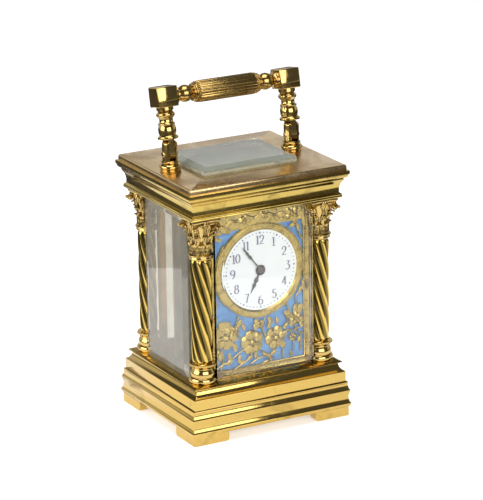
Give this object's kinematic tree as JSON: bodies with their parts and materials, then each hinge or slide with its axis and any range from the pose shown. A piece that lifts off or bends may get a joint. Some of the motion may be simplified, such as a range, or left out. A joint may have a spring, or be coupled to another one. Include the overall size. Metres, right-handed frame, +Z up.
{
  "type": "mantel clock",
  "caption": "Miniature carriage clock with corner columns, bevelled glasses, folding handle, hinged back door and a geared spring movement.",
  "frame": {"origin": "on the floor under the middle of the case", "axes": "+Z up, +X to the right seen from the dial side, dial faces -Y"},
  "size_m": [0.067, 0.0594, 0.1285],
  "materials": {
    "cast_brass": "polished, aged",
    "turned_brass": "polished, aged",
    "aged_top_brass": "dull, tarnished",
    "grip_brass": "worn, dark",
    "bevelled_glass": "clear, bevelled, slightly green",
    "gilt_fret": "satin gilt",
    "blue_lacquer": "satin",
    "white_enamel": "gloss enamel",
    "blued_steel": "blued",
    "bright_steel": "polished",
    "movement_brass": "satin"
  },
  "bodies": {
    "case": {"base_moulding": "cast_brass", "base_plate": "cast_brass", "column_base_front_left": "turned_brass", "column_base_front_right": "turned_brass", "column_base_rear_left": "turned_brass", "column_base_rear_right": "turned_brass", "column_shaft_front_left": "turned_brass", "column_shaft_front_right": "turned_brass", "column_shaft_rear_left": "turned_brass", "column_shaft_rear_right": "turned_brass", "capital_front_left": "turned_brass", "capital_front_right": "turned_brass", "capital_rear_left": "turned_brass", "capital_rear_right": "turned_brass", "tie_rods": "bright_steel", "tie_nuts": "bright_steel", "cornice_frame": "cast_brass", "top_plate": "aged_top_brass", "top_glass": "bevelled_glass", "front_glass": "bevelled_glass", "left_glass": "bevelled_glass", "right_glass": "bevelled_glass", "handle_post_left": "turned_brass", "handle_post_right": "turned_brass", "handle_pins": "bright_steel", "dial_mask": "gilt_fret", "mask_backing": "blue_lacquer", "dial_bezel": "gilt_fret", "dial_plate": "white_enamel", "front_plate": "movement_brass", "back_plate": "movement_brass", "plate_pillars": "movement_brass", "movement_screws": "blued_steel", "platform_plate": "movement_brass", "platform_cocks": "movement_brass", "hairspring": "blued_steel"},
    "handle": {"handle_leg_left": "turned_brass", "handle_leg_right": "turned_brass", "handle_grip": "grip_brass"},
    "door": {"door_frame": "turned_brass", "door_glass": "bevelled_glass", "door_knob": "turned_brass"},
    "minute_arbor": {"centre_wheel": "movement_brass", "cannon_pinion": "bright_steel", "minute_hand": "blued_steel"},
    "hour_pipe": {"hour_wheel": "movement_brass", "hour_hand": "blued_steel"},
    "minute_wheel": {"minute_wheel": "movement_brass"},
    "intermediate_arbor": {"intermediate_wheel": "movement_brass"},
    "barrel": {"barrel": "movement_brass", "barrel_cap": "movement_brass", "mainspring": "bright_steel"},
    "winding_arbor": {"barrel_arbor": "bright_steel", "ratchet_wheel": "blued_steel"},
    "click": {"click": "blued_steel"},
    "third_arbor": {"third_wheel": "movement_brass"},
    "contrate_arbor": {"contrate_wheel": "movement_brass"},
    "escape_arbor": {"escape_wheel": "bright_steel"},
    "lever": {"lever": "bright_steel"},
    "balance": {"balance_wheel": "movement_brass"}
  },
  "joints": [
    {"name": "handle_fold", "type": "hinge", "parent": "case", "child": "handle", "pos_m": [0, 0, 0.1035], "axis": [1, 0, 0], "range_deg": [-79, 101]},
    {"name": "door_swing", "type": "hinge", "parent": "case", "child": "door", "pos_m": [-0.01905, 0.0195, 0.053], "axis": [0, 0, 1], "range_deg": [0, 90]},
    {"name": "minute_turn", "type": "hinge", "parent": "case", "child": "minute_arbor", "pos_m": [0, 0, 0.0604], "axis": [0, 1, 0], "continuous": true},
    {"name": "hour_turn", "type": "hinge", "parent": "case", "child": "hour_pipe", "pos_m": [0, 0, 0.0604], "axis": [0, 1, 0], "continuous": true},
    {"name": "minute_wheel_turn", "type": "hinge", "parent": "case", "child": "minute_wheel", "pos_m": [-0.00393, 0, 0.05765], "axis": [0, 1, 0], "continuous": true},
    {"name": "intermediate_turn", "type": "hinge", "parent": "case", "child": "intermediate_arbor", "pos_m": [0.00273, 0, 0.05209], "axis": [0, 1, 0], "continuous": true},
    {"name": "barrel_turn", "type": "hinge", "parent": "case", "child": "barrel", "pos_m": [0, 0, 0.0404], "axis": [0, 1, 0], "continuous": true},
    {"name": "third_turn", "type": "hinge", "parent": "case", "child": "third_arbor", "pos_m": [0.00492, 0, 0.06671], "axis": [0, 1, 0], "continuous": true},
    {"name": "contrate_turn", "type": "hinge", "parent": "case", "child": "contrate_arbor", "pos_m": [0, 0, 0.0714], "axis": [0, 1, 0], "continuous": true},
    {"name": "winding_turn", "type": "hinge", "parent": "case", "child": "winding_arbor", "pos_m": [0, 0, 0.0404], "axis": [0, 1, 0], "continuous": true},
    {"name": "click_lift", "type": "hinge", "parent": "case", "child": "click", "pos_m": [0.0074, 0, 0.0454], "axis": [0, 1, 0], "range_deg": [0, 14]},
    {"name": "escape_turn", "type": "hinge", "parent": "case", "child": "escape_arbor", "pos_m": [0, 0.0009, 0.08], "axis": [0, 0, 1], "continuous": true},
    {"name": "lever_rock", "type": "hinge", "parent": "case", "child": "lever", "pos_m": [0, -0.0034, 0.08], "axis": [0, 0, 1], "range_deg": [-3, 3]},
    {"name": "balance_swing", "type": "hinge", "parent": "case", "child": "balance", "pos_m": [0, -0.0079, 0.083], "axis": [0, 0, 1], "range_deg": [-135, 135], "stiffness_Nm_per_rad": 0.0000013}
  ],
  "couplings": [
    {"joint": "hour_turn", "follows": "minute_turn", "ratio": 0.083333},
    {"joint": "minute_wheel_turn", "follows": "minute_turn", "ratio": -0.33333},
    {"joint": "intermediate_turn", "follows": "minute_turn", "ratio": -0.16667},
    {"joint": "barrel_turn", "follows": "minute_turn", "ratio": 0.02381},
    {"joint": "third_turn", "follows": "minute_turn", "ratio": -7},
    {"joint": "contrate_turn", "follows": "minute_turn", "ratio": 52.5}
  ]
}
